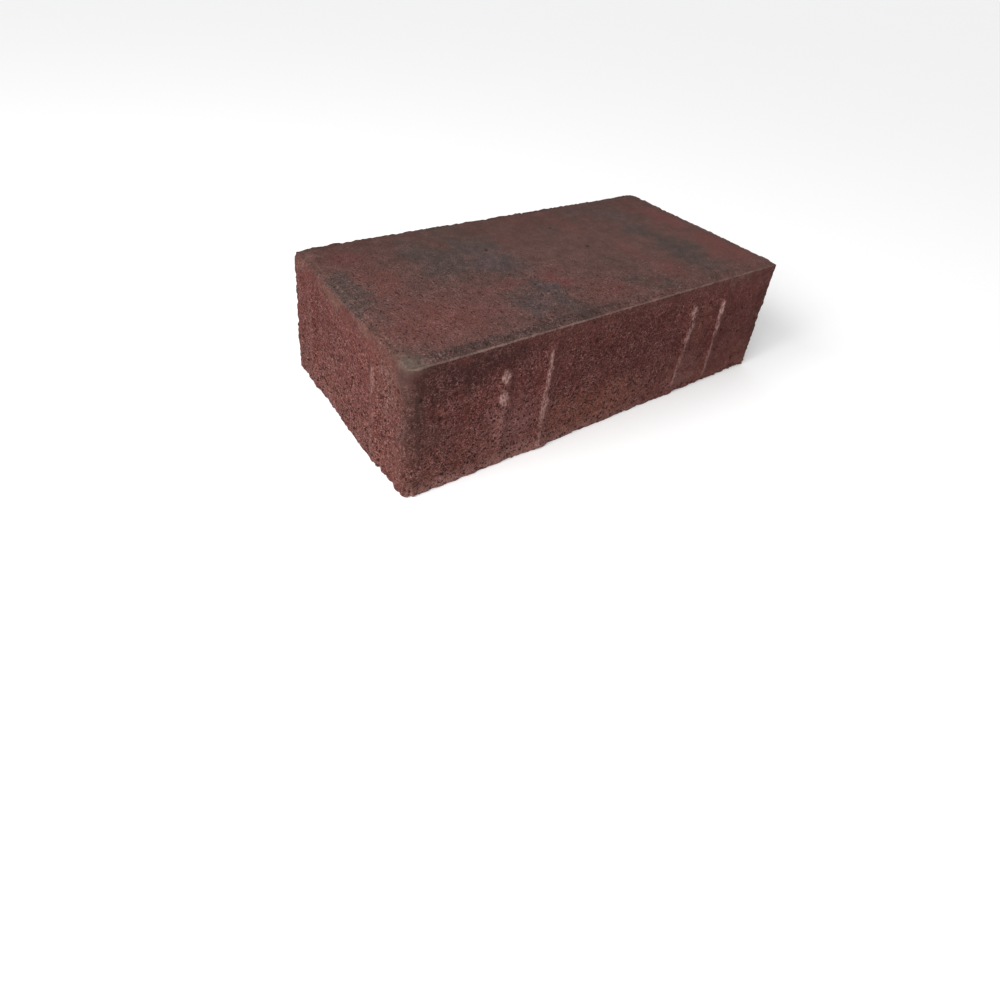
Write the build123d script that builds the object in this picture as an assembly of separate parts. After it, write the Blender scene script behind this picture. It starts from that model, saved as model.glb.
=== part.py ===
from build123d import *
import os

# A rectangular concrete paving stone, in millimetres, lying on its bed face.
# The origin is the centre of the bed, x runs along the stone and z is up.
# It fills a place of 200 x 100, and is sold as 60 thick, give or take 3.
length = 198
width = 98
thickness = 58
corner_radius = 3

# The bevel round the wearing face is wide and shallow, and its inner corners are nearly sharp.
bevel_width = 4
bevel_depth = 1
bevel_corner_radius = 1

# Spacer ribs: shallow upright swellings that hold the joint open to the next stone.
# Each is a slice of a round bar that starts at the bed and runs out under the wearing face.
rib_width = 8
rib_proud = 1
rib_drop = 6
rib_run_out = 6
# The narrowing tip goes on behind the face by this share, so that it ends inside the block.
tip_overrun = 1.25

# Where the ribs sit, seen square on to their face. The long faces carry a pair near each end,
# the head faces a single one. The shift lets them pass beside the ribs of the next stone.
pair_inset = 48
pair_pitch = 21
head_rib_inset = 20.5
rib_shift = 3.2


# The moulded block: rounded upright corners, and the bevel from its rim up to the wearing face.
def block():
    rim_height = thickness - bevel_depth
    outline = RectangleRounded(length, width, corner_radius)
    face_length = length - 2 * bevel_width
    face_width = width - 2 * bevel_width
    face_outline = RectangleRounded(face_length, face_width, bevel_corner_radius)
    bevel = loft([Pos(0, 0, rim_height) * outline, Pos(0, 0, thickness) * face_outline], ruled=True)
    return extrude(outline, rim_height) + bevel


# Radius of the bar whose slice is as wide and as proud as the rib.
def rib_radius():
    return (rib_width**2 / 4 + rib_proud**2) / (2 * rib_proud)


# One rib standing on its bar's own axis. The tip narrows so that its front sinks into
# the face at the end of the run-out.
def spacer_rib():
    full_height = thickness - rib_drop - rib_run_out
    tip_radius = rib_radius() - tip_overrun * rib_proud
    on_end = (Align.CENTER, Align.CENTER, Align.MIN)
    bar = Cylinder(rib_radius(), full_height, align=on_end)
    tip = Cone(rib_radius(), tip_radius, tip_overrun * rib_run_out, align=on_end)
    return bar + Pos(0, 0, full_height) * tip


# The ribs of one face, which looks along -y until it is turned to its side of the stone.
def face_ribs(turn, face_distance, stations):
    axis_depth = face_distance + rib_proud - rib_radius()
    return [Rot(0, 0, turn) * Pos(station, -axis_depth, 0) * spacer_rib() for station in stations]


pair_centres = [rib_shift + side * (length / 2 - pair_inset) for side in (-1, 1)]
long_stations = [centre + side * pair_pitch / 2 for centre in pair_centres for side in (-1, 1)]
head_stations = [side * (width / 2 - head_rib_inset) - rib_shift for side in (-1, 1)]

stone = block()
for turn in (0, 180):
    for rib in face_ribs(turn, width / 2, long_stations):
        stone += rib
for turn in (-90, 90):
    for rib in face_ribs(turn, length / 2, head_stations):
        stone += rib

os.makedirs("parts", exist_ok=True)
export_step(stone, "parts/paving_stone.step")
print("volume", round(stone.volume / 1000, 1), "cubic centimetres")
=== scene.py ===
import math
import bpy
import bmesh
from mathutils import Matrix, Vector, noise


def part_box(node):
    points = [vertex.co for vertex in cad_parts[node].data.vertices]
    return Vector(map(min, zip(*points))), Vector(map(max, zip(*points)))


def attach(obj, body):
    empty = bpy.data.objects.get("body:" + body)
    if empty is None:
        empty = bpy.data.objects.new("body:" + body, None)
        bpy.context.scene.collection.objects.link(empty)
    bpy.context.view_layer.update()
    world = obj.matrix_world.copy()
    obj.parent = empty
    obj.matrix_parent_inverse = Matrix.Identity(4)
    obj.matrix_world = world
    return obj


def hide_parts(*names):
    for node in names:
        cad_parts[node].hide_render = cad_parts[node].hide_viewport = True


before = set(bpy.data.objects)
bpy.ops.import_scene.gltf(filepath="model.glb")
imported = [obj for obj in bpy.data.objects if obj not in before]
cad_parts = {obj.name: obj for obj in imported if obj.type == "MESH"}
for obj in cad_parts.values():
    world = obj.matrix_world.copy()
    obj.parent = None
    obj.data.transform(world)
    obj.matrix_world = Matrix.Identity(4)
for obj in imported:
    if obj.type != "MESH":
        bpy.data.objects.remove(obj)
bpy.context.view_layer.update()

mm = 0.001

# The view of the photograph: a pinhole camera fitted to the stone's straight edges.
photoView = {
    "position": (-184.55, -198.79, 178.13),  # mm
    "turn": (57.011, -5.803, -35.196),  # degrees about x, y and z
    "focalPixels": 660.65,
    "centrePixelX": 498.34,
    "centrePixelY": 353.75,
    "imagePixels": 1000,
    "sensor": 36,  # mm
}


def addCamera():
    side = photoView["imagePixels"]
    lens = bpy.data.cameras.new("photoCamera")
    lens.sensor_width = photoView["sensor"]
    lens.lens = photoView["focalPixels"] * photoView["sensor"] / side
    lens.shift_x = (side / 2 - photoView["centrePixelX"]) / side
    lens.shift_y = (photoView["centrePixelY"] - side / 2) / side
    lens.clip_start = 0.01
    lens.clip_end = 100
    camera = bpy.data.objects.new("photoCamera", lens)
    camera.location = Vector(photoView["position"]) * mm
    camera.rotation_euler = [math.radians(angle) for angle in photoView["turn"]]
    bpy.context.scene.collection.objects.link(camera)
    bpy.context.scene.camera = camera


addCamera()
print("camera placed")

# The stone, in mm. Its outline without ribs comes from the CAD box.
stoneLow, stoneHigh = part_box("paving_stone")
stone = {
    "cuts": (121, 60, 34),  # rows along x, y and z before the fine pass
    "edgeStep": 0.5,  # how much closer the rows lie at the edges
    "edgePower": (15, 8, 6),  # how near the edges they close up
    "bevelWidth": 4.0,
    "bevelDepth": 1.0,
    "bevelStep": 0.5,  # share of the bevel that rises in a short step at its inner side
    "stepSpan": (0.7, 1.08),  # where that step lies, in widths of the bevel
    "cornerRound": {"front left": 4.5, "front right": 0.9, "back left": 0.9, "back right": 1.6},
    "rimRound": {"front": 0.4, "back": 0.15, "left": 1.7, "right": 0.2},
    "rimUneven": 0.35,  # how much the rounding varies along the edge, as a share
    "bedRound": 0.2,
    "bedUneven": 0.8,
    "lipHeight": {"front": 0.30, "back": 0.65, "left": 0.12, "right": 0.60},  # the pressed-up rim
    "lipInset": 0.45,
    "lipWidth": 0.55,
    "lipUneven": (0.8, 0.5, 0.7),  # its mean share, and how much it varies broadly and finely
    "lipFade": 6.0,  # it dies out this near a corner
    "rimFilm": {"front": 1.0, "back": 0.6, "left": 0.1, "right": 0.7},
    "filmWidth": 1.1,
    "ribWidth": 8.0,
    "ribProud": 1.0,
    "ribTop": 52.0,
    "ribRunOut": 6.0,
    "tipOverrun": 1.25,
    "pairInset": 48.0,
    "pairPitch": 21.0,
    "headRibInset": 20.5,
    "ribShift": 3.2,
    "ribSoft": 0.14,  # rounds the line where a rib meets its face
    "footReach": 8.0,  # the foot of a rib is worn down below this height
    "footWear": {"front": (0.9, 0.1, 0.8, 0.7), "back": (0.4, 0.7, 0.2, 0.8)},
    "headFootWear": 0.5,
}
halfLength = (stoneHigh.x - stoneLow.x) / 2 / mm - stone["ribProud"]
halfWidth = (stoneHigh.y - stoneLow.y) / 2 / mm - stone["ribProud"]
thickness = stoneHigh.z / mm
rimHeight = thickness - stone["bevelDepth"]

# Relief of the cast faces, in mm. Waves, lumps and grain go both ways from the plain face.
relief = {
    "waveHeight": 0.26,
    "lumpHeight": 0.42,
    "grainHeight": 0.44,
    # pores: size of their cells, share of the cells that have one, reach, depth and shift
    "sidePores": ((4.6, 0.34, 1.25, 0.9, 0.5), (2.4, 0.5, 0.8, 0.55, 3.5)),
    "facePores": (5.0, 0.16, 0.8, 0.35, 7.5),
    "bedPores": (6.0, 0.4, 2.0, 0.9, 2.5),
    "poreShadePerMm": 1.6,  # how dark the painted shade in a pore is for each mm of depth
    "smoothBand": 8.0,  # the finer band under the rim
    "bandWander": 2.5,
    "bandFade": (-3, 2),  # from below to above its lower edge
    "bandSmooth": 0.7,  # share of the roughness that it lacks
    "crestSmooth": 0.75,
    "faceWave": 0.10,
    "faceGrain": 0.13,
    "pitWander": 0.35,
    "bedDepth": 0.55,
    "bedUneven": (0.3, 0.75, 0.55),  # mean share, and how much the lumps and waves add
    "crumbReach": 2.6,  # how high the crumbling of the lower edge goes
    "crumbDepth": 0.65,
    "chipWander": 1.2,
    # how dark the painted shade in a broken spot is at its deepest
    "chipShade": 0.25,
}
# Smooth noises of the shape: size in mm, and a shift so that no two are alike.
drifts = {
    "rim": (9, 3.1),
    "lower edge": (3, 8.4),
    "broad lip": (6, 5.5),
    "fine lip": (1.7, 0.9),
    "wave": (22, 1.3),
    "lump": (4.5, 4.2),
    "grain": (1.6, 6.6),
    "pore patches": (13, 9.9),
    "smooth band": (14, 2.2),
    "pit outline": (0.9, 3.7),
    "fine crumbs": (1.2, 5.1),
    "broad crumbs": (4, 1.1),
    "chip outline": (1.3, 7.7),
}
# Broken spots: x, y, z of the middle, how far they reach and how deep they go.
chips = [
    (-99, -26, 0, 1.6, 0.9),
    (-99, -30, 0, 2.4, 1.6),
    (-99, -35.5, 0, 2.0, 1.3),
    (-99, -40, 0, 1.8, 1.0),
    (-99, -44.5, 0.5, 2.6, 0.9),
    (-99, 18, 0, 5.0, 0.5),
    (12, -49, 0, 3.0, 0.8),
    (48, -49, 0, 6.0, 0.6),
    (66, -49, 0, 5.0, 0.6),
    (90, -49, 0, 10.0, 1.0),
    (99, 49, 3, 5.0, 1.6),
    (60, 49, 0, 5.0, 1.2),
    (-30, 49, 0, 3.0, 1.0),
    (-99, 49, 58, 5.0, 0.7),
    (99, 12, 0, 3.5, 1.1),
    (99, -14, 57, 2.0, 0.5),
]
# Places where a side stands out a little: x, y, z of the middle, how far it reaches and by how much.
swells = [
    (-99, -7, 0, 36, 0.6),
    (-39, -49, 0, 14, 0.6),
    (99, -49, 12, 24, 0.45),
    (-99, 49, 14, 26, 0.4),
]
# Small holes in the wearing face: x, y, radius and depth.
facePits = [
    (-23, 18, 1.4, 0.9),
    (21, 27, 1.2, 0.8),
    (24, 3, 1.5, 0.8),
    (-64, -4, 1.0, 0.5),
    (58, -30, 0.9, 0.5),
]


def clamp(value):
    return min(1.0, max(0.0, value))


# 0 at low and 1 at high, eased between. Low may be the higher one.
def ease(low, high, value):
    share = clamp((value - low) / (high - low))
    return share * share * (3 - 2 * share)


def drift(point, name):
    size, shift = drifts[name]
    return noise.noise(point / size + Vector((shift, shift * 1.7, -shift)))


# Rows closer together near both ends, for t from -1 to 1.
def crowd(t, power):
    share = (1 - stone["edgeStep"]) / (power - 1)
    return t * (1 + share - share * abs(t) ** (power - 1))


# Puts a point of a square corner on the round one. Both values count from the round's centre.
def roundOff(across, up):
    if across <= 0 or up <= 0:
        return across, up
    share = max(across, up) / math.hypot(across, up)
    return across * share, up * share


def cornerRadius(x, y):
    side = ("back" if y > 0 else "front") + (" right" if x > 0 else " left")
    return stone["cornerRound"][side]


# The way out of the outline at x, y, and how far inside the outline the point lies.
def outlineAt(x, y):
    radius = cornerRadius(x, y)
    overX = abs(x) - halfLength + radius
    overY = abs(y) - halfWidth + radius
    if overX > 0 and overY > 0:
        reach = math.hypot(overX, overY)
        way = Vector((math.copysign(overX, x), math.copysign(overY, y), 0)) / reach
        return way, radius - reach
    if overX > overY:
        return Vector((math.copysign(1, x), 0, 0)), radius - overX
    return Vector((0, math.copysign(1, y), 0)), radius - overY


# A value that the stone dictionary gives for each of the four sides.
def bySide(sides, way):
    along = sides["right"] if way.x > 0 else sides["left"]
    across = sides["back"] if way.y > 0 else sides["front"]
    return along * way.x**2 + across * way.y**2


# Where the ribs stand along each face, as in the CAD part.
pairReach = halfLength - stone["pairInset"]
headReach = halfWidth - stone["headRibInset"]
halfPitch = stone["pairPitch"] / 2
longStations = [stone["ribShift"] + a * pairReach + b * halfPitch for a in (-1, 1) for b in (-1, 1)]
headStations = [a * headReach - stone["ribShift"] for a in (-1, 1)]
barRadius = (stone["ribWidth"] ** 2 / 4 + stone["ribProud"] ** 2) / (2 * stone["ribProud"])


# Station along the face that looks the way given, and each of its ribs with the wear of its foot.
def ribsOn(way, x, y):
    if abs(way.y) > abs(way.x):
        wear = stone["footWear"]["front" if way.y < 0 else "back"]
        return (x if way.y < 0 else -x), list(zip(longStations, wear))
    return (-y if way.x < 0 else y), [(place, stone["headFootWear"]) for place in headStations]


# How far a rib stands out at a station and height, and how near its crest that is.
def ribAt(station, height, ribs):
    fullHeight = stone["ribTop"] - stone["ribRunOut"]
    narrowing = clamp((height - fullHeight) / (stone["ribRunOut"] * stone["tipOverrun"]))
    radius = barRadius - narrowing * stone["tipOverrun"] * stone["ribProud"]
    place, wear = min(ribs, key=lambda rib: abs(station - rib[0]))
    nearest = abs(station - place)
    rise = math.sqrt(max(0, radius**2 - nearest**2)) - barRadius + stone["ribProud"]
    proud = (rise + math.hypot(rise, stone["ribSoft"])) / 2
    proud *= 1 - wear * ease(stone["footReach"], 0, height)
    return min(proud, stone["ribProud"]), clamp(1 - nearest / (stone["ribWidth"] / 2))


# Share of full depth, 0 to 1, of a pore near the point. Only some cells have a pore.
def poreAt(point, cell, share, reach, shift):
    distances, centres = noise.voronoi(point / cell + Vector((shift, 0, shift)))
    luck = noise.cell(centres[0] * 31.7) / 2 + 0.5  # any number from 0 to 1, the same all over a cell
    if luck > share:
        return 0
    size = reach / cell * (0.5 + 0.9 * luck / share)
    return 1 - ease(size * 0.25, size, distances[0])


# A box with even rows, twice as many rows everywhere above the bed.
def blockGrid():
    bm = bmesh.new()
    bmesh.ops.create_cube(bm, size=2)
    for axis, cuts in enumerate(stone["cuts"]):
        along = [e for e in bm.edges if abs(e.verts[0].co[axis] - e.verts[1].co[axis]) > 1]
        bmesh.ops.subdivide_edges(bm, edges=along, cuts=cuts, use_grid_fill=True)
    bm.normal_update()
    upper = {edge for face in bm.faces if face.normal.z > -0.5 for edge in face.edges}
    bmesh.ops.subdivide_edges(bm, edges=list(upper), cuts=1, use_grid_fill=True)
    return bm


# The moulded form: crowded rows, round corners, bevel, lip and ribs.
def shapeBlock(bm):
    rimLayer = bm.verts.layers.float["rim"]
    crestLayer = bm.verts.layers.float["crest"]
    meanLip, broadLip, fineLip = stone["lipUneven"]
    atEnd = 0.9999  # the cube goes from -1 to 1
    for vert in bm.verts:
        onTop = vert.co.z > atEnd
        onBed = vert.co.z < -atEnd
        x, y, z = [crowd(t, power) for t, power in zip(vert.co, stone["edgePower"])]
        x = x * halfLength
        y = y * halfWidth
        z = (z + 1) / 2 * rimHeight
        radius = cornerRadius(x, y)
        overX, overY = roundOff(abs(x) - halfLength + radius, abs(y) - halfWidth + radius)
        x = math.copysign(halfLength - radius + overX, x)
        y = math.copysign(halfWidth - radius + overY, y)
        way, inside = outlineAt(x, y)
        here = Vector((x, y, z))
        inside = max(0.0, inside)
        # rim and lower edge
        soft = bySide(stone["rimRound"], way) * (1 + stone["rimUneven"] * drift(here, "rim"))
        across, up = roundOff(soft - inside, soft - rimHeight + z)
        moved = (soft - inside) - across
        drop = (soft - rimHeight + z) - up
        low = stone["bedRound"] * (1 + stone["bedUneven"] * drift(here, "lower edge"))
        acrossLow, down = roundOff(low - inside, low - z)
        moved += (low - inside) - acrossLow
        lift = (low - z) - down
        lip = 0
        if onTop:
            share = clamp(inside / stone["bevelWidth"])
            step = stone["bevelStep"] * ease(*stone["stepSpan"], share)
            z += stone["bevelDepth"] * (step + (1 - stone["bevelStep"]) * share)
            lip = math.exp(-(((inside - stone["lipInset"]) / stone["lipWidth"]) ** 2))
            uneven = meanLip + broadLip * drift(here, "broad lip") + fineLip * drift(here, "fine lip")
            lip *= bySide(stone["lipHeight"], way) * uneven
            lip *= ease(0, stone["lipFade"], math.hypot(halfLength - abs(x), halfWidth - abs(y)))
        z += lip - drop + lift
        if not onTop and not onBed:
            station, ribs = ribsOn(way, x, y)
            proud, crest = ribAt(station, z, ribs)
            moved -= proud
            vert[crestLayer] = crest * clamp(proud / stone["ribProud"] * 1.5)
        distance = inside if onTop else 2 * (rimHeight - z)  # the film goes half as far down the side
        vert[rimLayer] = clamp(1 - distance / stone["filmWidth"]) * bySide(stone["rimFilm"], way)
        vert.co = Vector((x, y, z)) - way * moved


# Depth of the pores of a side near a point, in mm. They lie in patches.
def poreDepthAt(spot):
    patchy = 0.75 + 1.1 * drift(spot, "pore patches")
    depth = 0
    for cell, share, reach, deep, shift in relief["sidePores"]:
        depth = max(depth, deep * poreAt(spot, cell, share * patchy, reach, shift))
    return depth


# How far small bites go in at the lower edge, in mm.
def crumbAt(spot):
    if spot.z >= relief["crumbReach"]:
        return 0
    bite = max(0, drift(spot, "fine crumbs") + 0.6 * drift(spot, "broad crumbs") - 0.02)
    return relief["crumbDepth"] * bite * (1 - spot.z / relief["crumbReach"])


# Roughness of the cast faces. Every point moves along its normal, and crumbs and swells level.
def roughen(bm):
    poreShadeLayer = bm.verts.layers.float["poreShade"]
    crestLayer = bm.verts.layers.float["crest"]
    below, above = relief["bandFade"]
    meanBed, lumpBed, waveBed = relief["bedUneven"]
    bm.normal_update()
    moves = []
    for vert in bm.verts:
        spot = vert.co
        facing = vert.normal
        sideways = math.hypot(facing.x, facing.y)
        side = ease(0.5, 0.9, sideways)
        wave = drift(spot, "wave")
        lump = drift(spot, "lump")
        grain = drift(spot, "grain")
        depth = 0
        cut = side * relief["waveHeight"] * wave
        # rough sides, finer under the rim and on the ribs
        bandEdge = rimHeight - relief["smoothBand"] + relief["bandWander"] * drift(spot, "smooth band")
        rough = side * (1 - relief["bandSmooth"] * ease(bandEdge + below, bandEdge + above, spot.z))
        rough *= 1 - relief["crestSmooth"] * clamp(vert[crestLayer] * 1.2)
        if rough > 0:
            pores = poreDepthAt(spot)
            cut += rough * (relief["lumpHeight"] * lump + relief["grainHeight"] * grain + pores)
            depth = rough * clamp(pores * relief["poreShadePerMm"])
        # wearing face
        if facing.z > 0.5 and spot.z > rimHeight - 2:
            cell, share, reach, deep, shift = relief["facePores"]
            finePore = poreAt(spot, cell, share, reach, shift) * deep
            cut += relief["faceWave"] * (0.5 + wave) + relief["faceGrain"] * (0.5 + grain) + finePore
            depth = finePore
            for x, y, radius, deep in facePits:
                gap = math.hypot(spot.x - x, spot.y - y) + relief["pitWander"] * drift(spot, "pit outline")
                pit = 1 - ease(radius * 0.3, radius, gap)
                cut += pit * deep
                depth = max(depth, pit)
        # bed
        if facing.z < -0.5 and spot.z < 2:
            cell, share, reach, deep, shift = relief["bedPores"]
            bedPore = poreAt(spot, cell, share, reach, shift)
            hollow = max(0, meanBed + lumpBed * lump + waveBed * wave)
            cut += relief["bedDepth"] * hollow + deep * bedPore
            depth = bedPore
        # crumbs, swells and broken spots
        upright = ease(0.3, 0.7, sideways)
        inward = crumbAt(spot) * upright
        for x, y, z, reach, height in swells:
            inward -= height * upright * (1 - ease(0, reach, (spot - Vector((x, y, z))).length))
        for x, y, z, reach, deep in chips:
            gap = (spot - Vector((x, y, z))).length + relief["chipWander"] * drift(spot, "chip outline")
            if gap < reach:
                broken = 1 - ease(0, reach, gap)
                cut += deep * broken * (0.9 + 0.8 * grain)
                depth = max(depth, relief["chipShade"] * broken)
        # painted shade: the deeper a pore, pit or broken spot, the darker it is painted
        vert[poreShadeLayer] = clamp(depth)
        level = Vector((facing.x, facing.y, 0)).normalized()
        moves.append(facing * -cut - level * inward)
    for vert, move in zip(bm.verts, moves):
        vert.co += move


# Patches are ovals: middle, half sizes, lean (mm along x for each mm across) and strength.
# Pigment clouds of the wearing face, x and y only.
faceClouds = {
    "charcoal": [
        ((-47, 13), (13, 14), 0, 1.0),
        ((-28, 4), (14, 12), 0, 1.0),
        ((-27, 25), (12, 14), 0, 0.85),
        ((-53, 28), (10, 12), 0, 0.75),
        ((-34, -31), (11, 14), 0, 0.75),
        ((-21, -28), (6, 20), 0, 0.88),
        ((-95, 13), (9, 10), 0, 1.0),
        ((-94, 0), (7, 12), 0, 0.8),
        ((-97, 0), (4, 60), 0, 0.25),
        ((65, -24), (11, 20), 0, 0.9),
        ((62, 5), (10, 16), 0, 0.65),
        ((62, 30), (14, 16), 0, 0.5),
        ((45, 40), (12, 8), 0, 0.4),
        ((20, -31), (9, 10), 0, 0.45),
        ((30, -42), (12, 5), 0, 0.6),
        ((22, 24), (7, 9), 0.5, 0.4),
        ((10, 5), (9, 12), 0.5, 0.25),
        ((-32, 42), (14, 7), 0, 0.5),
        ((24, -12), (8, 12), 0, 0.3),
    ],
    "red": [
        ((-72, -25), (27, 18), 0, 0.85),
        ((-80, 6), (9, 20), 0, 0.8),
        ((-83, 34), (9, 15), 0, 0.9),
        ((-42, -13), (16, 5), 0, 0.65),
        ((3, -34), (16, 11), 0, 0.65),
        ((-10, -17), (9, 13), 0, 0.5),
        ((43, -31), (10, 12), 0, 0.7),
        ((38, -8), (8, 16), 0, 0.45),
        ((31, 28), (6, 18), 0, 0.5),
        ((12, 38), (9, 9), 0, 0.45),
        ((-8, 25), (9, 12), 0, 0.3),
        ((88, -26), (12, 20), 0, 0.85),
        ((89, 15), (9, 13), 0, 0.85),
        ((86, 38), (12, 10), 0, 0.4),
    ],
    "crimson": [
        ((86, 14), (10, 17), 0, 0.55),
        ((87, -15), (9, 14), 0, 0.55),
        ((-12, -17), (6, 9), 0, 0.6),
        ((-84, 36), (8, 8), 0, 0.5),
    ],
    "slate": [
        ((-25, 8), (11, 13), 0, 0.9),
        ((-20, -17), (8, 11), 0, 1.0),
        ((-32, -31), (11, 9), 0, 0.8),
        ((58, 26), (12, 12), 0, 0.7),
    ],
}
# Tints of the sides; the dim ones are partly painted shade on the upper front face.
sideTints = {
    "dimAndShade": [
        # painted shade on the upper front face, darkest at its left; the other dim patches are darker
        # concrete
        ((-72, -49, 50), (32, 10, 12), 0, 0.95),
        ((-15, -49, 46), (60, 8, 16), 0, 0.4),
        ((94, -49, 24), (9, 8, 30), 0, 0.6),
        ((70, -49, 22), (24, 8, 20), 0, 0.55),
        ((85, -49, 0), (34, 8, 4), 0, 0.5),
        ((-99, 47, 12), (8, 7, 10), 0, 0.5),
        ((30, 49, 40), (26, 8, 14), 0, 0.6),
        ((99, -20, 20), (8, 16, 16), 0, 0.5),
    ],
    "umber": [
        ((-88, -50, 26), (12, 7, 16), 0, 0.62),
        ((-84, -49, 13), (12, 8, 9), 0, 0.5),
        ((-95, -50, 34), (6, 7, 26), 0, 0.75),
        ((-98, -50, 7), (6, 5, 11), 0, 0.72),
        ((97, -50, 28), (4, 6, 40), 0, 0.6),
        ((-99, -48, 40), (8, 7.5, 30), 0, 0.85),
    ],
    "wine": [
        ((5, -49, 34), (50, 8, 22), 0, 0.7),
        ((64, -49, 24), (32, 8, 28), 0, 0.85),
        ((-99, 22, 42), (8, 34, 18), 0, 0.55),
    ],
    "olive": [
        ((-99, 0, 57), (8, 75, 4.5), 0, 0.6),
        ((-99, -34, 44), (8, 13, 14), 0, 0.55),
        ((80, -49, 57), (30, 8, 3), 0, 0.5),
        ((0, 49, 57), (100, 8, 4), 0, 0.5),
    ],
    "pink": [
        ((-53, -49, 18), (15, 8, 18), 0, 0.6),
        ((-84, -49, 0), (20, 8, 6), 0, 1.0),
        ((-48, -49, 0), (16, 8, 7), 0, 1.0),
        ((48, -49, 10), (12, 8, 12), 0, 0.6),
        ((20, -49, 12), (12, 8, 9), 0, 0.35),
        ((-99, 5, 0), (8, 34, 4.5), 0, 0.8),
        ((-60, 49, 14), (22, 8, 12), 0, 0.6),
        ((99, 25, 10), (8, 14, 12), 0, 0.6),
    ],
    "rusty": [
        ((-4, -49, 12), (26, 8, 14), 0, 0.65),
        ((-28, -49, 16), (12, 8, 14), 0, 0.45),
        ((53, -49, 35), (9, 8, 12), 0, 0.45),
        ((-99, -33, 9), (8, 5, 10), 0, 0.5),
        ((10, 49, 14), (24, 8, 13), 0, 0.6),
    ],
}
# Pale rubbed places on the crests of the ribs.
scuffs = [
    ((-59.0, -50, 43), (1.8, 3, 2.8), 0, 0.72),
    ((-59.0, -50, 33.5), (2.0, 3, 3.9), 0, 0.8),
    ((-58.6, -50, 24.5), (1.4, 3, 3.0), 0, 0.15),
    ((-38.0, -50, 39), (0.9, 3, 11), 0, 0.68),
    ((-38.4, -50, 21), (1.6, 3, 9), 0, 0.48),
    ((-38.2, -50, 6), (1.2, 3, 6), 0, 0.35),
    ((43.0, -50, 44.5), (1.7, 3, 3.6), 0, 0.7),
    ((43.6, -50, 34.5), (1.5, 3, 6), 0.07, 0.6),
    ((42.4, -50, 16), (1.1, 3, 13), 0.09, 0.32),
    ((63.0, -50, 41.5), (1.8, 3, 5.0), 0, 0.9),
    ((63.8, -50, 32.5), (1.4, 3, 6), 0, 0.55),
    ((64.2, -50, 15), (0.9, 3, 12), 0, 0.4),
    ((-100, -25.3, 39), (3, 1.5, 6.5), 0, 0.28),
    ((58.3, 50, 36), (1.9, 3, 9), 0, 0.7),
    ((37.3, 50, 26), (1.6, 3, 16), 0, 0.5),
    ((-43.7, 50, 38), (2.0, 3, 7), 0, 0.8),
    ((-64.7, 50, 20), (1.4, 3, 14), 0, 0.35),
    ((100, 25.3, 34), (3, 1.9, 10), 0, 0.6),
    ((100, -31.7, 22), (3, 1.4, 13), 0, 0.35),
]
shapeLayers = ["rim", "crest", "poreShade"]
paintLayers = [*faceClouds, *sideTints, "scuff"]
painting = {
    "seed": 13,  # decides how the edges of the patches wander
    "patchWander": ((16, 7), (4.5, 4)),  # size and reach of the noises that bend an edge, in mm
    "scuffWander": ((1.3, 0.7), (5, 0.8)),
    "cloudFade": (1.6, 0.2),  # where a patch ends and where it is full, in half sizes
    "tintFade": (1.5, 0.3),
    "scuffFade": (1.2, 0.75),
}


# Coverage 0 to 1 of a point by oval patches that fade from inner to outer, in half sizes.
def coverAt(point, ovals, outer, inner):
    cover = 0
    for middle, halves, lean, strength in ovals:
        gaps = [value - at for value, at in zip(point, middle)]
        gaps[0] -= lean * gaps[-1]
        reach = math.hypot(*[gap / half for gap, half in zip(gaps, halves)])
        if reach < outer:
            cover = max(cover, strength * ease(outer, inner, reach))
    return cover


# The point where a patch is looked up, bent by two noises.
def strayFrom(spot, noises):
    broad, fine = [noise.noise_vector(spot / size) * reach for size, reach in noises]
    return spot + (broad + fine)


# Puts clouds, tints and scuffs on the points, for the material to read.
def paint(bm):
    layers = {name: bm.verts.layers.float[name] for name in paintLayers}
    noise.seed_set(painting["seed"])
    for vert in bm.verts:
        bent = strayFrom(vert.co, painting["patchWander"])
        if vert.co.z > rimHeight - 1:
            for name, clouds in faceClouds.items():
                vert[layers[name]] = coverAt(bent.xy, clouds, *painting["cloudFade"])
        if vert.co.z < rimHeight + 1:
            for name, tints in sideTints.items():
                vert[layers[name]] = coverAt(bent, tints, *painting["tintFade"])
            jagged = strayFrom(vert.co, painting["scuffWander"])
            vert[layers["scuff"]] = coverAt(jagged, scuffs, *painting["scuffFade"])


def addStone():
    bm = blockGrid()
    for layerName in [*shapeLayers, *paintLayers]:
        bm.verts.layers.float.new(layerName)
    shapeBlock(bm)
    paint(bm)
    print("stone shaped:", len(bm.verts), "points")
    roughen(bm)
    floorHeight = min(vert.co.z for vert in bm.verts)
    bmesh.ops.translate(bm, verts=bm.verts, vec=(0, 0, -floorHeight))
    bmesh.ops.scale(bm, verts=bm.verts, vec=(mm, mm, mm))
    bmesh.ops.recalc_face_normals(bm, faces=bm.faces)
    for face in bm.faces:
        face.smooth = True
    mesh = bpy.data.meshes.new("pavingStone")
    bm.to_mesh(mesh)
    bm.free()
    piece = bpy.data.objects.new("pavingStone", mesh)
    bpy.context.scene.collection.objects.link(piece)
    print("stone roughened:", sum(len(p.vertices) - 2 for p in mesh.polygons), "triangles")
    return piece


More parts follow.
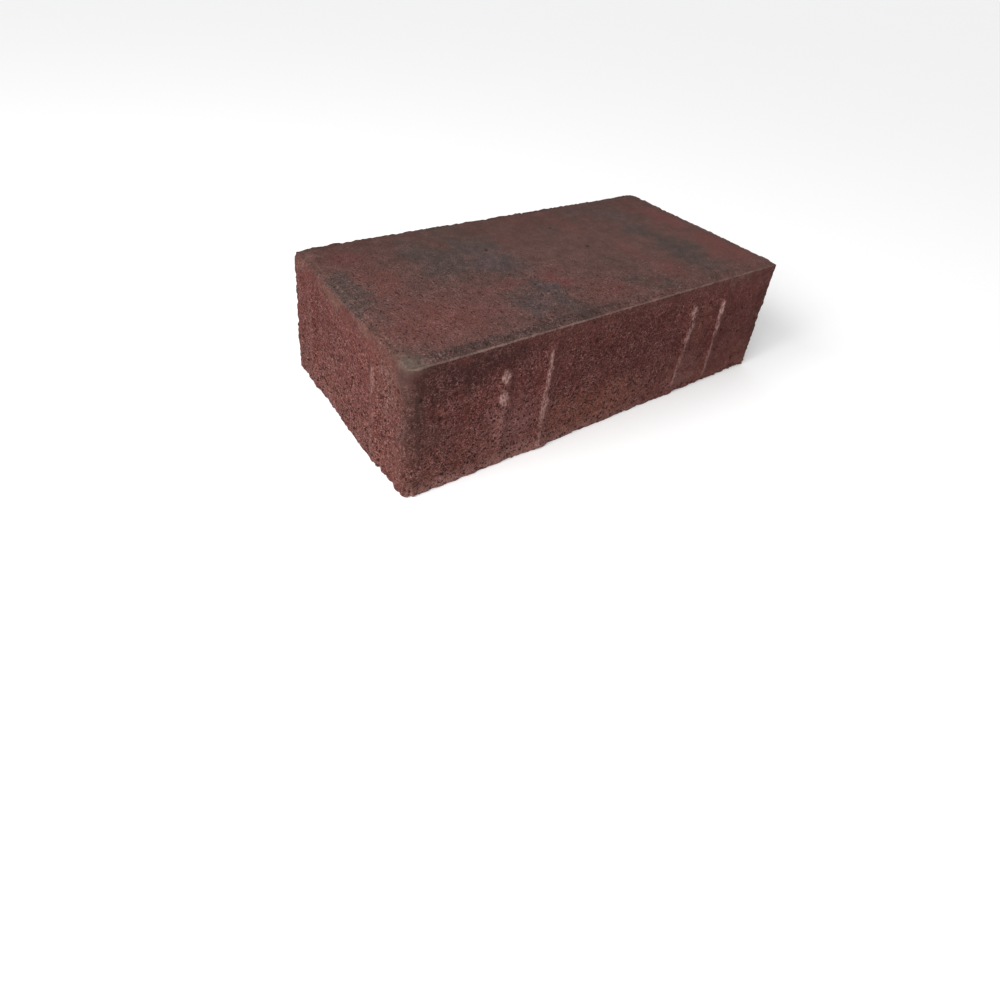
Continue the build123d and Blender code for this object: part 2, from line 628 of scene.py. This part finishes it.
# A value in a node tree. Sums and products of these add Math nodes.
class Signal:
    def __init__(self, graph, socket):
        self.graph = graph
        self.socket = socket

    # another output of the same node
    def other(self, output):
        return Signal(self.graph, self.socket.node.outputs[output])

    def math(self, operation, first, second):
        values = {0: first, 1: second}
        return self.graph.node("ShaderNodeMath", {"operation": operation}, values)

    def __add__(self, other):
        return self.math("ADD", self, other)

    def __sub__(self, other):
        return self.math("SUBTRACT", self, other)

    def __rsub__(self, other):
        return self.math("SUBTRACT", other, self)

    def __mul__(self, other):
        return self.math("MULTIPLY", self, other)

    def highest(self, other):
        return self.math("MAXIMUM", self, other)

    __radd__ = __add__
    __rmul__ = __mul__


# Adds nodes to a material: settings first, then values or links of the sockets.
class Graph:
    def __init__(self, material):
        material.use_nodes = True
        self.tree = material.node_tree
        self.tree.nodes.clear()

    def node(self, kind, settings=None, sockets=None, output=0):
        made = self.tree.nodes.new(kind)
        for name, value in (settings or {}).items():
            setattr(made, name, value)
        for name, value in (sockets or {}).items():
            if isinstance(value, Signal):
                self.tree.links.new(value.socket, made.inputs[name])
            else:
                made.inputs[name].default_value = value
        return Signal(self, made.outputs[output]) if made.outputs else None

    # first where the share is 0 and second where it is 1
    def between(self, share, first, second):
        return first + share * (second - first)

    def vector(self, operation, first, second=None, scale=None, output=0):
        sockets = {0: first}
        if second is not None:
            sockets[1] = second
        if scale is not None:
            sockets["Scale"] = scale
        return self.node("ShaderNodeVectorMath", {"operation": operation}, sockets, output)

    # 0 below low and 1 above high, eased between, and low may be the higher one
    def step(self, value, low, high):
        settings = {"interpolation_type": "SMOOTHSTEP"}
        sockets = {"Value": value, "From Min": low, "From Max": high}
        return self.node("ShaderNodeMapRange", settings, sockets)

    def noise(self, spot, size, detail=2.0, roughness=0.5, output=0):
        sockets = {"Vector": spot, "Scale": 1 / size, "Detail": detail, "Roughness": roughness}
        return self.node("ShaderNodeTexNoise", None, sockets, output)

    # a mix of two colours, whose sockets are numbers 6 and 7 of a Mix node and whose result is 2
    def mix(self, share, first, second):
        return self.node("ShaderNodeMix", {"data_type": "RGBA"}, {0: share, 6: first, 7: second}, 2)

    def attribute(self, name):
        return self.node("ShaderNodeAttribute", {"attribute_name": name}, None, "Fac")

    # small round specks in that share of the cells which luck picks
    def specks(self, spot, size, radius, share):
        sockets = {"Vector": spot, "Scale": 1 / size}
        cells = self.node("ShaderNodeTexVoronoi", None, sockets, "Distance")
        luck = self.node("ShaderNodeSeparateColor", None, {0: cells.other("Color")}, "Red")
        picked = self.step(luck, share + 0.02, share - 0.02)
        return self.step(cells, radius, radius * 0.45) * picked


def screenColour(red, green, blue):
    def light(level):
        share = level / 255
        return share / 12.92 if share <= 0.04045 else ((share + 0.055) / 1.055) ** 2.4

    return (light(red), light(green), light(blue), 1)


# Colours of the cast concrete under plain white light, as screen levels; some of them are painted light
# and shade, as marked.
concrete = {
    "sideRed": screenColour(87, 41, 36),
    "sideMauve": screenColour(88, 43, 38),
    # partly painted shade: the next colour darkens the finer band under the rim
    "sideTop": screenColour(75, 40, 35),
    # painted light: the next colour lightens the lower sides as if by light bounced up from the floor
    "sideBounceLight": screenColour(114, 69, 58),
    "footPale": screenColour(142, 100, 92),
    "faceRed": screenColour(100, 62, 56),
    "faceDeepRed": screenColour(92, 54, 50),
    "faceBrown": screenColour(85, 60, 55),
    # painted shade: the next colour darkens the back of the wearing face, where the light falls off
    "faceBackShade": screenColour(70, 46, 41),
    "crimson": screenColour(98, 52, 51),
    "charcoal": screenColour(66, 55, 51),
    "slate": screenColour(71, 60, 60),
    # painted shade: the next colour darkens the front bevel and the crease at its step, partly as darker
    # pigment
    "band": screenColour(61, 49, 46),
    # painted shade: the next colour darkens pores, pits and the gaps between grains
    "poreShade": screenColour(42, 10, 4),
    "paleGrain": screenColour(145, 102, 97),
    # partly painted shade: the next colour darkens the upper front face, and some darker patches of the
    # concrete
    "dimAndShade": screenColour(54, 25, 22),
    "umber": screenColour(60, 38, 33),
    "wine": screenColour(70, 27, 23),
    "olive": screenColour(84, 60, 51),
    "pink": screenColour(118, 78, 75),
    "rusty": screenColour(112, 63, 49),
    "scuff": screenColour(184, 146, 140),
    "rimFilm": screenColour(120, 97, 90),
    "greyFilm": screenColour(88, 77, 68),
    # how far each of these covers what is under it
    "crimsonShare": 0.6,
    "cloudShare": 0.92,
    "leftRimShare": 0.4,
    "bevelShadeShare": 0.75,
    "grooveShadeShare": 0.4,
    "cornerShare": 0.75,
    "cornerSideShare": 0.3,
    "topShare": 0.7,
    "bounceLightShare": 0.3,
    "poreShadeShare": 0.75,
    "darkShare": 0.85,
    "scuffShare": 0.85,
    # grain
    "sideGrain": (1.02, 0.83, -0.08),  # at the right end, and what the middle and the left end add
    "faceGrain": (0.27, 0.78),  # at the back right, and what the front left adds
    "grainMix": (3.3, 2.2, 1.2),  # weights of the dust, the fine noise and the medium one
    "blotchMix": (1.0, 0.6),  # weights of the lumps and the broad noise
    "grainBump": 0.4,  # mm
    "roughness": 0.9,
    "shine": 0.2,
}


# What the colours read, kept on the graph: place in mm, painted layers, noises and regions.
def readStone(graph):
    place = graph.node("ShaderNodeTexCoord", None, None, "Object")
    spot = graph.vector("SCALE", place, scale=1 / mm)
    graph.spot = spot
    graph.along = graph.node("ShaderNodeSeparateXYZ", None, {0: spot}, "X")
    graph.across = graph.along.other("Y")
    graph.height = graph.along.other("Z")
    graph.painted = {name: graph.attribute(name) for name in [*shapeLayers, *paintLayers]}
    graph.dust = graph.noise(spot, 0.42, 1, 0.5)
    graph.fine = graph.noise(spot, 0.85, 2, 0.6)
    graph.medium = graph.noise(graph.vector("ADD", spot, (70, 20, 40)), 1.7, 2, 0.6)
    graph.lumps = graph.noise(spot, 4.2, 3, 0.6)
    graph.broad = graph.noise(spot, 10, 3, 0.55)
    graph.mottle = graph.noise(graph.vector("ADD", spot, (15, 60, 30)), 7, 5, 0.68)
    graph.wander = graph.mottle - 0.5
    facing = graph.node("ShaderNodeNewGeometry", None, None, "Normal")
    facingUp = graph.step(graph.node("ShaderNodeSeparateXYZ", None, {0: facing}, "Z"), 0.35, 0.8)
    graph.onFace = graph.step(graph.height, rimHeight - 1.6, rimHeight - 0.2) * facingUp
    graph.charcoal = graph.step(graph.painted["charcoal"] - graph.wander * 0.9, 0.08, 0.8)
    fromCorner = graph.vector("DISTANCE", spot, (-98, -48, rimHeight), output="Value")
    graph.corner = graph.step(fromCorner + graph.wander * 8, 11, 3)
    bandHeight = graph.height + (graph.broad - 0.5) * 8
    graph.fineBand = graph.step(bandHeight, rimHeight - 9, rimHeight - 1) * (1 - graph.onFace)
    graph.leftward = graph.step(graph.along + graph.across * 2, 60, -80)


# Red and brown under charcoal clouds, with painted shade towards the back and on the front bevel, greyer
# along the left and the front rim.
def faceColour(graph):
    along, across, wander, painted = graph.along, graph.across, graph.wander, graph.painted
    red = graph.mix(graph.step(graph.lumps, 0.4, 0.62), concrete["faceRed"], concrete["faceDeepRed"])
    face = graph.mix(graph.step(painted["red"] + wander * 1.3, 0.05, 0.95), concrete["faceBrown"], red)
    # painted shade: darker towards the back, where less light reaches
    paintedBackShade = graph.step(across + wander * 20, 5, 40) * (0.45 + graph.step(along, 0, -40) * 0.1)
    face = graph.mix(paintedBackShade, face, concrete["faceBackShade"])
    crimson = graph.step(painted["crimson"] + wander * 0.5, 0.1, 0.9)
    face = graph.mix(crimson * concrete["crimsonShare"], face, concrete["crimson"])
    cloud = graph.mix(painted["slate"], concrete["charcoal"], concrete["slate"])
    face = graph.mix(graph.charcoal * concrete["cloudShare"], face, cloud)
    leftRim = graph.step(along + wander * 5, -93, -98) * (1 - graph.charcoal * 0.7)
    face = graph.mix(leftRim * concrete["leftRimShare"], face, concrete["olive"])
    # a dark band inside the front rim: painted shade of the bevel sloping away from the light, partly
    # darker pigment, with a line of painted shade in the crease at the foot of the bevel's step
    inside = across + halfWidth
    band = graph.step(inside + wander * 6, 6.4, 4.4) * graph.step(along, 10, -30)
    face = graph.mix(band * concrete["bevelShadeShare"], face, concrete["band"])
    grooveShade = graph.step(inside, 3.2, 4.1) * graph.step(inside, 5.6, 4.6)
    grooveShade = grooveShade * (graph.step(along, 40, -10) + 0.5) * graph.step(graph.mottle, 0.38, 0.5)
    face = graph.mix(grooveShade * concrete["grooveShadeShare"], face, concrete["band"])
    return graph.mix(graph.corner * concrete["cornerShare"], face, concrete["greyFilm"])


# Red sides with painted tints, darker under the rim, partly as painted shade, and paler towards the ground
# as painted light bounced up from the floor.
def sideColour(graph):
    along, height, wander = graph.along, graph.height, graph.wander
    mauve = graph.step(graph.lumps + graph.broad, 0.85, 1.15)
    side = graph.mix(mauve, concrete["sideRed"], concrete["sideMauve"])
    # the finer band under the rim is darker: its own finer surface, and partly painted shade of the upper
    # side
    side = graph.mix(graph.fineBand * concrete["topShare"], side, concrete["sideTop"])
    for name in sideTints:
        share = graph.step(graph.painted[name] + wander * 0.3, 0.05, 1)
        side = graph.mix(share, side, concrete[name])
    # painted light: paler towards the ground, as if lit by light bounced up from the floor
    low = graph.step(height + wander * 12, 34, 0)
    side = graph.mix(low * concrete["bounceLightShare"], side, concrete["sideBounceLight"])
    foot = graph.step(height + wander * 8, 8, 1) * graph.step(graph.across, -47, -48.8)
    foot = foot * (0.08 + graph.step(along, 40, -20) * 0.62)
    side = graph.mix(foot, side, concrete["footPale"])
    nearRim = graph.step(height + (graph.lumps - 0.5) * 3, rimHeight - 4.5, rimHeight - 0.5)
    return graph.mix(graph.corner * nearRim * concrete["cornerSideShare"], side, concrete["greyFilm"])


# How strong the grain is: strongest on the rough sides, and weaker where they are fine or dark.
def grainStrength(graph):
    along, height, painted = graph.along, graph.height, graph.painted
    leftEnd = graph.step(along, -88, -98)
    right, middle, left = concrete["sideGrain"]
    side = right + graph.step(along, 85, 15) * middle + leftEnd * left
    side = side * (1 - graph.fineBand * 0.45) * (1 - painted["dimAndShade"].highest(painted["umber"]) * 0.5)
    side = side * (1 + graph.step(along, -45, -75) * graph.step(height, 30, 8) * 0.32)
    side = side * (1 - leftEnd * graph.step(height, 36, 50) * 0.22)
    right, left = concrete["faceGrain"]
    face = right + graph.leftward * left
    return graph.between(graph.onFace, side, face) * (1 - graph.corner * 0.6)


# Small dark pits, painted as shade, and pale flecks, more of them in some patches than in others.
def addSpecks(graph):
    warp = graph.noise(graph.spot, 1.3, 1, 0.5, "Color")
    bent = graph.vector("ADD", graph.spot, graph.vector("SCALE", warp, scale=1.8))
    graph.patchy = graph.step(graph.broad + (graph.lumps - 0.5) * 0.5, 0.40, 0.62)
    pitted = 0.16 + graph.onFace * 0.12 + graph.patchy * (0.4 - graph.onFace * 0.28)
    graph.pits = graph.specks(bent, 1.45, 0.52, pitted)
    graph.flecks = graph.specks(graph.vector("ADD", bent, (5, 9, 2)), 1.5, 0.40, 0.22)


# Pale sand and dark gaps over a colour. The gaps and pits are partly painted shade and partly darker
# grain, and pores, pits and broken spots get painted shade by their depth.
def addGrain(graph, colour, strength):
    dust, fine, medium = concrete["grainMix"]
    grain = (graph.dust - 0.5) * dust + (graph.fine - 0.5) * fine + (graph.medium - 0.5) * medium
    lumps, broad = concrete["blotchMix"]
    blotch = (graph.lumps - 0.5) * lumps + (graph.broad - 0.5) * broad
    blotch = blotch * (1.2 + graph.onFace * (graph.leftward * 0.7 - 0.2))
    grain = grain * strength * (0.82 + graph.patchy * 0.36) + blotch
    pale = grain.highest(0) * 0.42 + graph.flecks * strength * (0.16 + graph.onFace * 0.2)
    colour = graph.mix(pale, colour, concrete["paleGrain"])
    dark = (0 - grain).highest(0) * 0.7 + graph.pits * strength * 0.52
    # painted shade in pores, pits and broken spots, from their depth
    dark = (graph.step(graph.painted["poreShade"], 0.1, 0.8) * concrete["poreShadeShare"]).highest(dark)
    return graph.mix(dark * concrete["darkShare"], colour, concrete["poreShade"])


# Rubbed rib crests and the pale film on the rim, over a colour.
def addWear(graph, colour):
    streaks = graph.noise(graph.vector("MULTIPLY", graph.spot, (1, 1, 0.4)), 0.7, 3, 0.7)
    rubbed = graph.painted["scuff"] * (0.22 + graph.step(streaks, 0.44, 0.58) * 0.78)
    rubbed = rubbed * graph.step(graph.painted["crest"], 0.2, 0.5)
    colour = graph.mix(rubbed * concrete["scuffShare"], colour, concrete["scuff"])
    film = graph.step(graph.painted["rim"] + (graph.fine - 0.5) * 0.6, 0.25, 0.7)
    film = film * (0.45 + graph.step(graph.lumps, 0.4, 0.6) * 0.55)
    film = film * (0.85 - graph.step(graph.along, 10, 80) * 0.35)
    return graph.mix(film, colour, concrete["rimFilm"])


# Places and sizes in it are in mm.
def concreteMaterial():
    material = bpy.data.materials.new("castConcrete")
    graph = Graph(material)
    readStone(graph)
    colour = graph.mix(graph.onFace, sideColour(graph), faceColour(graph))
    strength = grainStrength(graph)
    addSpecks(graph)
    colour = addWear(graph, addGrain(graph, colour, strength))
    bumpHeight = graph.dust * 0.5 + graph.fine * 1.1 + graph.medium * 0.8 - graph.pits * 0.5
    bumpSockets = {"Height": bumpHeight * strength, "Distance": concrete["grainBump"] * mm}
    roughness = concrete["roughness"] + (graph.fine - 0.5) * 0.1 - graph.onFace * graph.charcoal * 0.12
    sockets = {
        "Base Color": colour,
        "Roughness": roughness,
        "Normal": graph.node("ShaderNodeBump", None, bumpSockets),
        "Specular IOR Level": concrete["shine"],
    }
    shader = graph.node("ShaderNodeBsdfPrincipled", None, sockets)
    graph.node("ShaderNodeOutputMaterial", None, {"Surface": shader})
    return material


pavingStone = addStone()
pavingStone.data.materials.append(concreteMaterial())
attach(pavingStone, "root")
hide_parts("paving_stone")
print("stone finished")

# A pale floor and soft light, the strongest from the left.
studio = {
    "floorSize": 60.0,  # m
    "floorColour": (0.92, 0.92, 0.92, 1),
    "floorRoughness": 0.9,
    "floorShine": 0.1,
    "floorGlow": 0.14,
    "ambient": 0.56,
    "keyFrom": (-0.82, 0.12, 0.56),
    "keyStrength": 1.5,
    "keySpread": 30,  # degrees
    "boxPlace": (-0.48, -0.19, 0.37),  # m, a softbox near the front left corner
    "boxSize": 0.3,
    "boxPower": 2.6,  # W
}


def linkLight(name, lamp, source):
    light = bpy.data.objects.new(name, lamp)
    light.rotation_euler = Vector(source).to_track_quat("Z", "Y").to_euler()
    light.visible_camera = False
    bpy.context.scene.collection.objects.link(light)
    return light


def addLights():
    key = bpy.data.lights.new("keyLight", "SUN")
    key.energy = studio["keyStrength"]
    key.angle = math.radians(studio["keySpread"])
    linkLight("keyLight", key, studio["keyFrom"])
    box = bpy.data.lights.new("softbox", "AREA")
    box.energy = studio["boxPower"]
    box.size = studio["boxSize"]
    linkLight("softbox", box, studio["boxPlace"]).location = studio["boxPlace"]


def addStudio():
    bm = bmesh.new()
    bmesh.ops.create_grid(bm, x_segments=1, y_segments=1, size=studio["floorSize"] / 2)
    mesh = bpy.data.meshes.new("floor")
    bm.to_mesh(mesh)
    bm.free()
    floor = bpy.data.objects.new("floor", mesh)
    bpy.context.scene.collection.objects.link(floor)
    material = bpy.data.materials.new("paleFloor")
    graph = Graph(material)
    sockets = {
        "Base Color": studio["floorColour"],
        "Roughness": studio["floorRoughness"],
        "Specular IOR Level": studio["floorShine"],
        "Emission Color": studio["floorColour"],
        "Emission Strength": studio["floorGlow"],
    }
    shader = graph.node("ShaderNodeBsdfPrincipled", None, sockets)
    graph.node("ShaderNodeOutputMaterial", None, {"Surface": shader})
    floor.data.materials.append(material)
    addLights()
    world = bpy.data.worlds.new("studio")
    world.use_nodes = True
    background = world.node_tree.nodes["Background"]
    background.inputs["Color"].default_value = (1, 1, 1, 1)
    background.inputs["Strength"].default_value = studio["ambient"]
    bpy.context.scene.world = world
    bpy.context.scene.view_settings.view_transform = "Standard"


addStudio()
print("studio ready")
